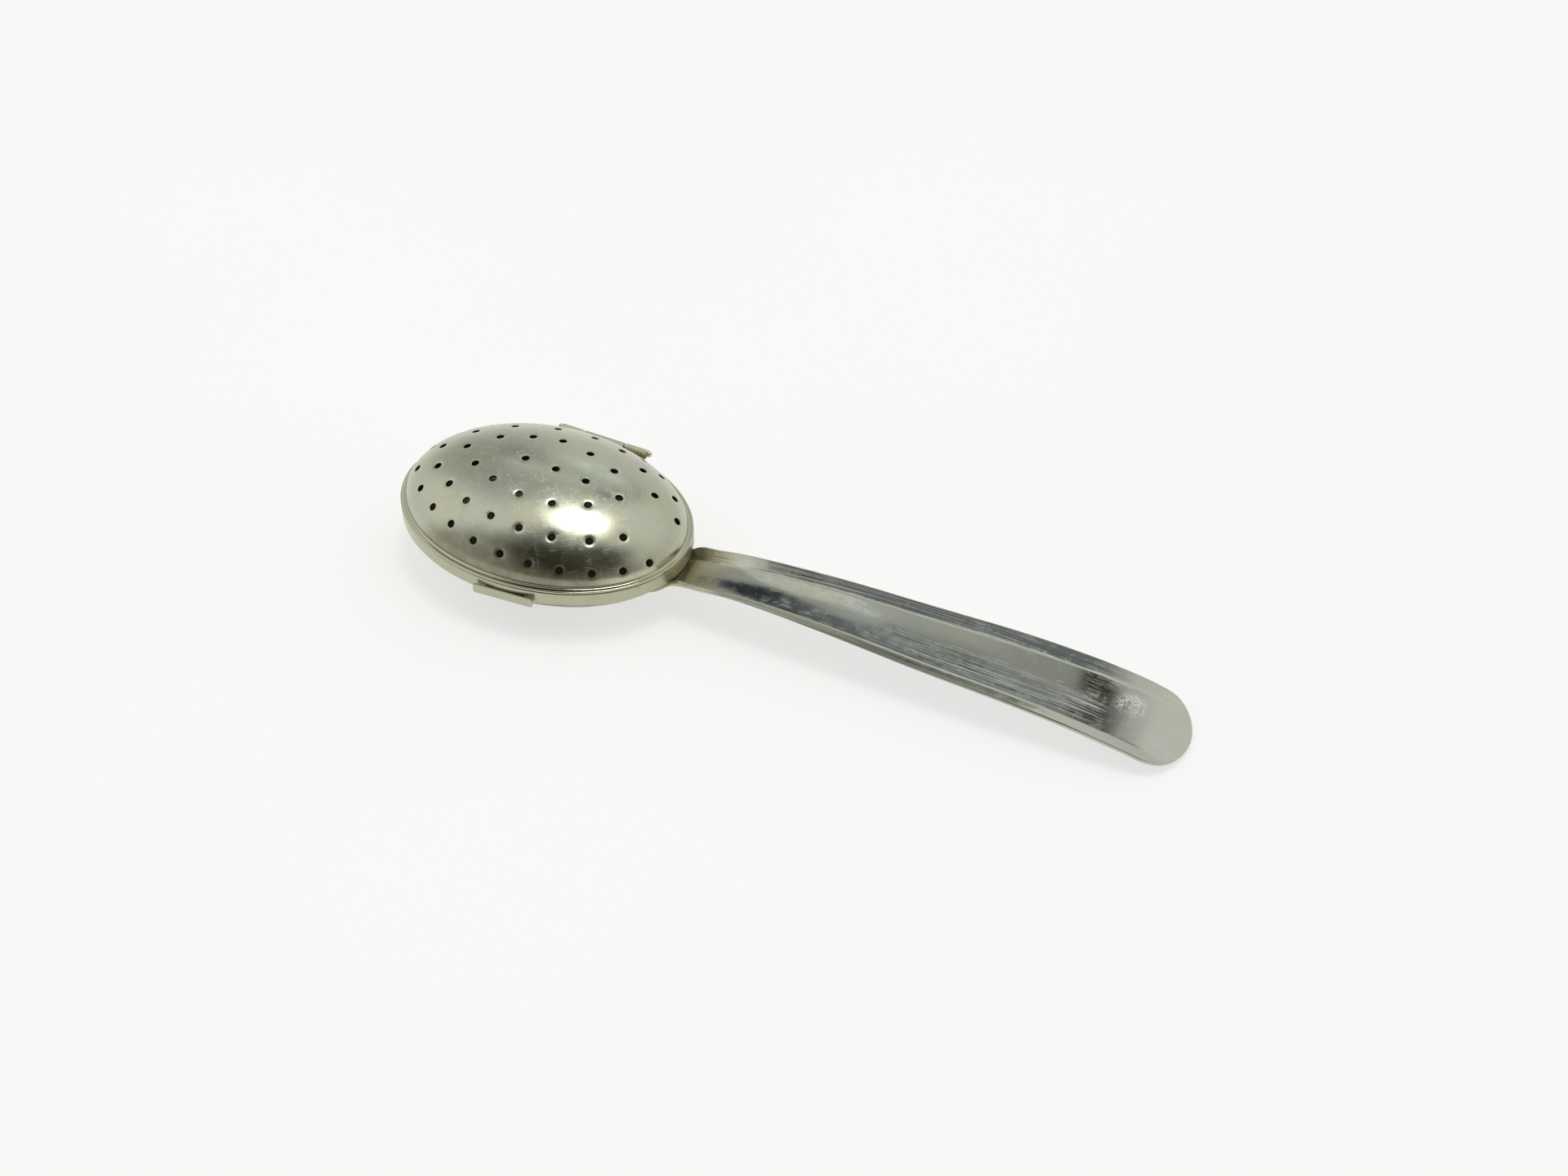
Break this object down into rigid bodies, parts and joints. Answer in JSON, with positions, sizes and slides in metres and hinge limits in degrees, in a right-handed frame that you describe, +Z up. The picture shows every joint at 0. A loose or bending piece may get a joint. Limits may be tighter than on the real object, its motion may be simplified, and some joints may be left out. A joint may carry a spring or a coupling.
{
  "type": "hinged infuser spoon",
  "caption": "Perforated oval infuser spoon: a domed lid hinged at the side of a shallow perforated bowl, on a long trough-shaped handle.",
  "frame": {"origin": "centre of the small flat under the bowl, on the surface that the spoon rests on", "axes": "+X along the handle from the bowl to its rounded end, +Y towards the hinge, +Z up from the surface"},
  "size_m": [0.1447, 0.0422, 0.0197],
  "materials": {
    "lid_plate": "worn bright nickel plate with fine scratches",
    "bowl_plate": "worn bright nickel plate",
    "collar_plate": "worn bright nickel plate",
    "handle_plate": "bright nickel plate with long scratches",
    "hinge_metal": "thinly plated brass tube",
    "pin_metal": "steel wire",
    "solder": "dull soft solder"
  },
  "bodies": {
    "spoon": {"lower_shell": "bowl_plate", "rim_collar": "collar_plate", "handle": "handle_plate", "collar_knuckle_left": "hinge_metal", "collar_knuckle_right": "hinge_metal", "hinge_pin": "pin_metal", "lift_lip": "collar_plate", "lip_solder": "solder"},
    "lid": {"lid_shell": "lid_plate", "lid_closing_ring": "lid_plate", "lid_knuckle": "hinge_metal"}
  },
  "joints": [
    {"name": "lid_hinge", "type": "hinge", "parent": "spoon", "child": "lid", "pos_m": [-0.00233, 0.02083, 0.00984], "axis": [-0.9995, 0, 0.0311], "range_deg": [0, 170]}
  ]
}
